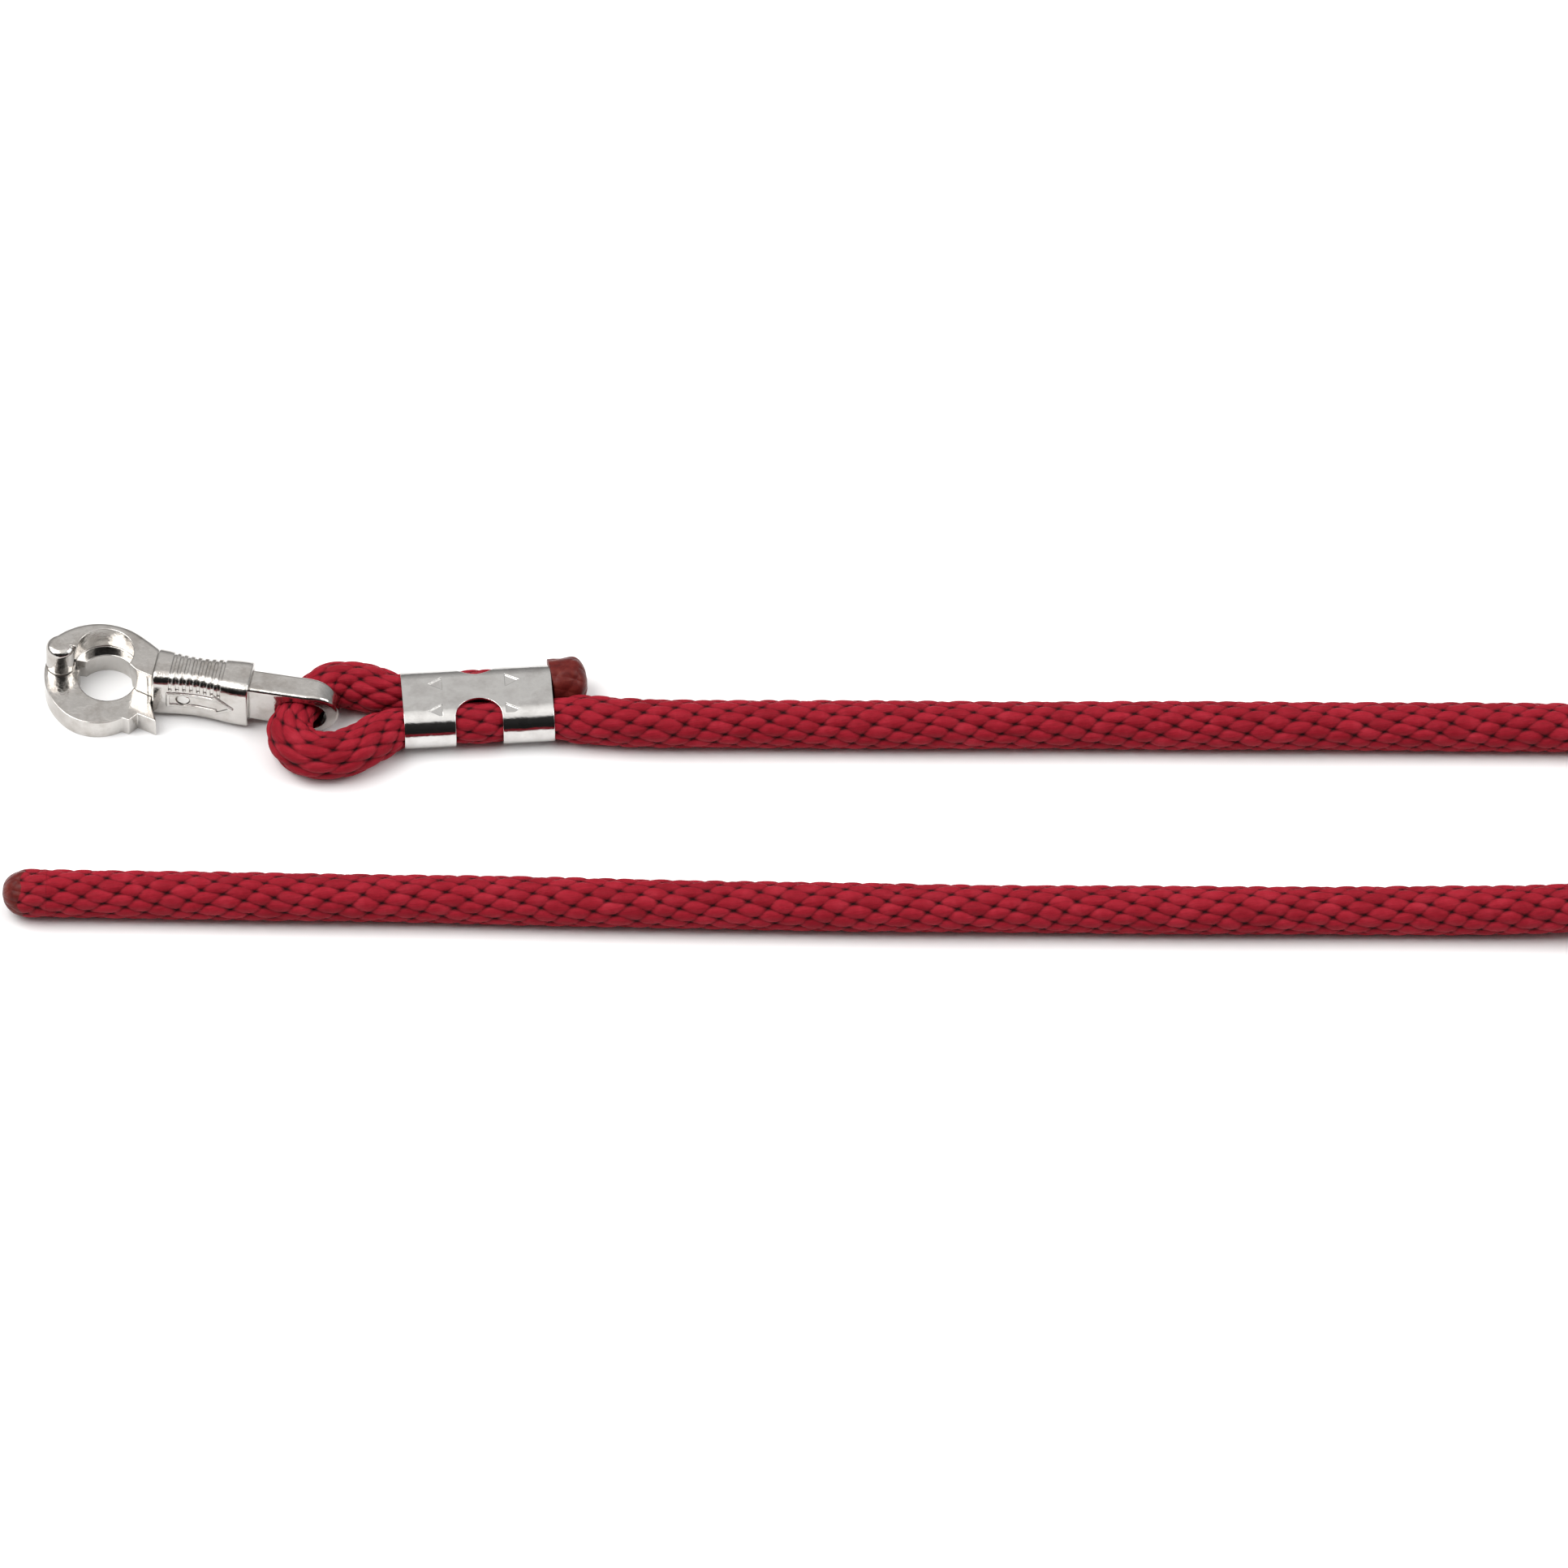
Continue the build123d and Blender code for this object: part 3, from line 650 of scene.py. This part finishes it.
def rope_end(name, points, bare_length, rounding, braid_start=0.0):
    """A dipped rope end: its braid is bare for a length, then shows through a skin that rounds to a tip.

    rounding is the length of the round tip, and braid_start is how far along the rope, in millimetres, the
    braid of this end begins.
    """
    line, at = even(centreline(points), END_STEP)
    length = at[-1]
    theta, unroll = round_rope(END_SIDES)
    along = braid_start + at * MM
    crown = braid(along[:, None], unroll[None, :])
    tip = np.clip((at - (length - rounding)) / rounding, 0.0, 1.0)
    profile = np.maximum(TIP_SHARE, (1.0 - tip ** DIP_ROUNDNESS) ** (1 / DIP_ROUNDNESS))
    border = bare_length + 0.0009 * np.sin(2 * theta + 0.6) + 0.0006 * np.sin(5 * theta)
    covered = smooth(at[:, None], border[None, :] - DIP_BORDER, border[None, :] + DIP_BORDER)
    relief = RELIEF * (1.0 - DIP_FILL * covered)
    wave = 1.0 + 0.02 * np.sin(3 * theta[None, :] + along[:, None] * 0.5) * covered
    radius = (ROPE_R + DIP_PROUD - relief * (1.0 - crown)) * uneven(along, theta) * profile[:, None] * wave
    rows = rope_rows(line, radius * np.cos(theta)[None, :], radius * np.sin(theta)[None, :])
    underside = np.clip(-np.sin(theta), 0.0, 1.0)
    fading = np.clip(1.0 - at / (0.75 * length), 0.0, 1.0)
    bare = np.maximum(1.0 - covered, 0.75 * underside[None, :] * fading[:, None])
    piece = grid_mesh(name, rows, (along, unroll), bare)
    piece.data.materials.append(dipped)
    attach(piece, "lead")
    return piece


short_end = rope_end(
    "short_end_skin",
    [
        tuple(clamp_point(0.0251, 0.0080, 0.0080)),
        tuple(clamp_point(0.0300, 0.0085, 0.0081)),
        tuple(clamp_point(0.0373, 0.0090, 0.0082)),
    ],
    bare_length=-0.003,
    rounding=0.0052,
)
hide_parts("short_end_dip")

FREE_OVERLAP = 0.0040
free_end = rope_end(
    "free_end_skin",
    [(-0.0190, -0.09388, 0.0080), (-0.0270, -0.0937, 0.0080), (-0.0338, -0.0941, 0.0079)],
    bare_length=0.0086,
    rounding=0.0098,
    braid_start=MM * (free_length - FREE_OVERLAP),
)
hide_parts("free_end_dip")

# ---------------------------------------------------------------- sleeve spring
SPRING_SPAN = (0.0295, 0.0449)
SPRING_R = 0.0019
SPRING_WIRE_R = 0.00035
SPRING_TURNS = 9
TURN_POINTS = 28
WIRE_SIDES = 10


def helix(name, start, end, coil_radius, wire, turns):
    """A coil spring between two points along the hook's axis, with closed end turns."""
    along = (end - start).normalized()
    length = (end - start).length
    v = np.array(HOOK_V)
    w = np.array(along.cross(HOOK_V))
    t = np.linspace(0.0, 1.0, turns * TURN_POINTS + 1)
    pitch = 0.5 * t + 0.5 * (t - np.sin(2 * np.pi * t) / (2 * np.pi))
    angle = t * turns * 2 * math.pi
    out = v[None, :] * np.cos(angle)[:, None] + w[None, :] * np.sin(angle)[:, None]
    line = (
        np.array(start)[None, :]
        + np.array(along)[None, :] * (wire + pitch * (length - 2 * wire))[:, None]
        + coil_radius * out
    )
    ahead = np.gradient(line, axis=0)
    ahead /= np.linalg.norm(ahead, axis=1)[:, None]
    other = np.cross(ahead, out)
    phi = np.arange(WIRE_SIDES) * 2 * math.pi / WIRE_SIDES
    rows = (
        line[:, None, :]
        + wire * np.cos(phi)[None, :, None] * out[:, None, :]
        + wire * np.sin(phi)[None, :, None] * other[:, None, :]
    )
    return grid_mesh(name, rows, (t * 100, phi))


low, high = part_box("sleeve_spring")
spring_z = 0.5 * (low[2] + high[2])
SPRING_START = hook_point(SPRING_SPAN[0], 0, spring_z)
SPRING_END = hook_point(SPRING_SPAN[1], 0, spring_z)
spring = helix("sleeve_spring_coil", SPRING_START, SPRING_END, SPRING_R, SPRING_WIRE_R, SPRING_TURNS)
spring.data.materials.append(spring_steel)
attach(spring, "hook")
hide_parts("sleeve_spring")
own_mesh(spring)

# ---------------------------------------------------------------- floor
FLOOR_HALF = 6
floor_corners = [(FLOOR_HALF * x, FLOOR_HALF * y, 0) for x, y in ((-1, -1), (1, -1), (1, 1), (-1, 1))]
floor_mesh = bpy.data.meshes.new("floor")
floor_mesh.from_pydata(floor_corners, [], [(0, 1, 2, 3)])
floor = bpy.data.objects.new("floor", floor_mesh)
scene.collection.objects.link(floor)
floor_material, floor_tree, floor_shader = new_material("floor")
floor_cloud = noise(floor_tree, object_place(floor_tree), 3.0, 2.0)
floor_tone = ramp(floor_tree, floor_cloud, ((0.3, grey(0.89)), (0.7, grey(0.91))))
floor_tree.links.new(floor_tone, floor_shader.inputs["Base Color"])
floor_shader.inputs["Roughness"].default_value = 0.9
floor_shader.inputs["Specular IOR Level"].default_value = 0.1
floor.data.materials.append(floor_material)

# ---------------------------------------------------------------- world: a bright sky, dark toward -Y
SKY_HEIGHTS = ((0.0, 0.30), (0.38, 0.42), (0.62, 0.62), (0.80, 0.80), (0.97, 1.35))

world = bpy.data.worlds.new("studio")
world.use_nodes = True
scene.world = world
sky = world.node_tree
sky.nodes.clear()
sky_out = sky.nodes.new("ShaderNodeOutputWorld")
background = sky.nodes.new("ShaderNodeBackground")
sky.links.new(background.outputs[0], sky_out.inputs[0])
direction = node(sky, "ShaderNodeTexCoord").outputs["Generated"]
axes = node(sky, "ShaderNodeSeparateXYZ", {0: direction})
ragged = noise(sky, direction, 3.2, 5.0, 0.6)
toward = maths(sky, "ADD", axes.outputs[1], span(sky, ragged, -0.20, 0.20, 0.3, 0.7))
front = span(sky, toward, 1.0, 0.0, -0.60, -0.40)
by_height = ramp(sky, axes.outputs[2], [(position, grey(tone)) for position, tone in SKY_HEIGHTS])
clouds = span(sky, ragged, 0.72, 1.18, 0.3, 0.7)
level = maths(sky, "MULTIPLY", clouds, span(sky, front, 1.0, 0.04))
sky_tint = ramp(sky, axes.outputs[0], ((0.0, (1.0, 0.985, 0.97)), (1.0, (0.97, 0.985, 1.0))))
sky_colour = mixed(sky, 1.0, mixed(sky, 1.0, by_height, sky_tint, "MULTIPLY"), level, "MULTIPLY")
sky.links.new(sky_colour, background.inputs[0])
background.inputs[1].default_value = 1.0


# ---------------------------------------------------------------- lights
def area_light(name, place, aim, size, power):
    data = bpy.data.lights.new(name, "AREA")
    data.shape = "RECTANGLE"
    data.size, data.size_y = size
    data.energy = power
    lamp = bpy.data.objects.new(name, data)
    scene.collection.objects.link(lamp)
    lamp.location = place
    lamp.rotation_euler = (Vector(aim) - Vector(place)).to_track_quat("-Z", "Y").to_euler()


area_light("key", (-0.75, -0.05, 1.25), aim=(0.20, -0.05, 0.0), size=(1.3, 1.3), power=21.0)
area_light("fill", (1.35, -0.10, 1.10), aim=(0.25, -0.05, 0.0), size=(0.9, 0.9), power=11.0)
scene.view_settings.view_transform = "Standard"
